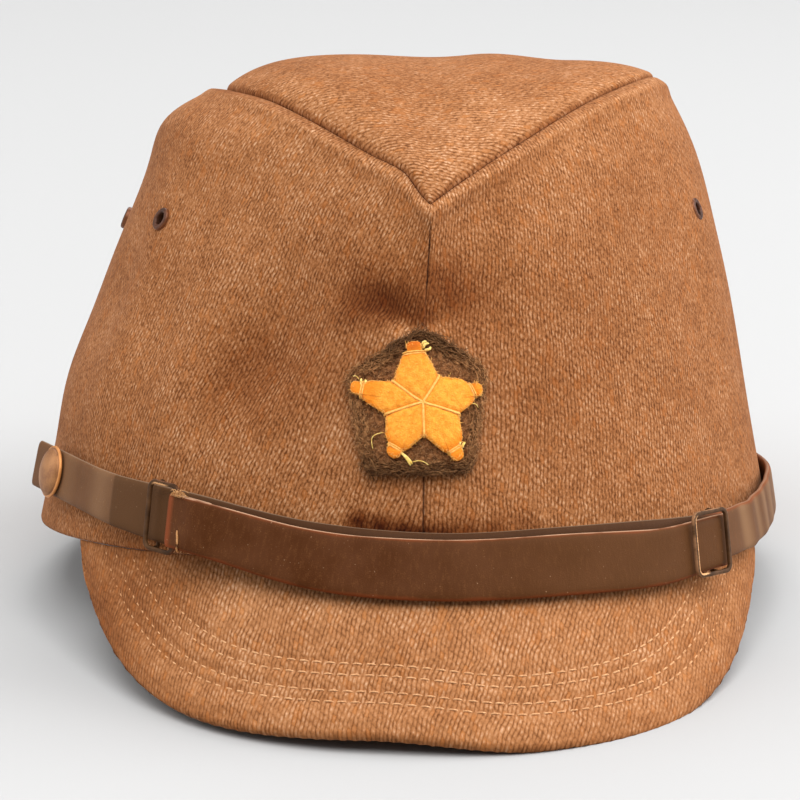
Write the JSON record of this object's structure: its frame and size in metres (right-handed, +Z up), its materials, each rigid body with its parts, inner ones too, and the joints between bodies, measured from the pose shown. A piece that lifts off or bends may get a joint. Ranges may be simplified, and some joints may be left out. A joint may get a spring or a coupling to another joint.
{
  "type": "field cap",
  "caption": "Soft wool field cap with a pointed-oval top, a stitched cloth peak, a leather chin strap with slides and buttons, air eyelets and a felt star badge on the front seam.",
  "frame": {"origin": "centre of the cap's bounding box, on the surface that it rests on", "axes": "+Z up; the front and its peak face -Y; +X towards the right of someone who looks at the front"},
  "size_m": [0.1818, 0.2348, 0.1284],
  "materials": {
    "cloth": "brown-orange wool twill",
    "backing_felt": "dark brown felt",
    "star_felt": "yellow-orange felt",
    "leather": "dark brown, worn",
    "dark_metal": "dark brown paint, worn to brass on its edges",
    "button_metal": "dull copper brown",
    "thread": "pale tan sewing thread"
  },
  "bodies": {
    "root": {"crown_side_left": "cloth", "crown_side_right": "cloth", "crown_top": "cloth", "peak": "cloth", "badge_backing": "backing_felt", "badge_star": "star_felt", "strap_back": "leather", "strap_front": "leather", "slide_left": "dark_metal", "slide_right": "dark_metal", "eyelet_left_front": "dark_metal", "eyelet_left_rear": "dark_metal", "eyelet_right_front": "dark_metal", "eyelet_right_rear": "dark_metal", "button_left": "button_metal", "button_right": "button_metal"}
  },
  "joints": []
}
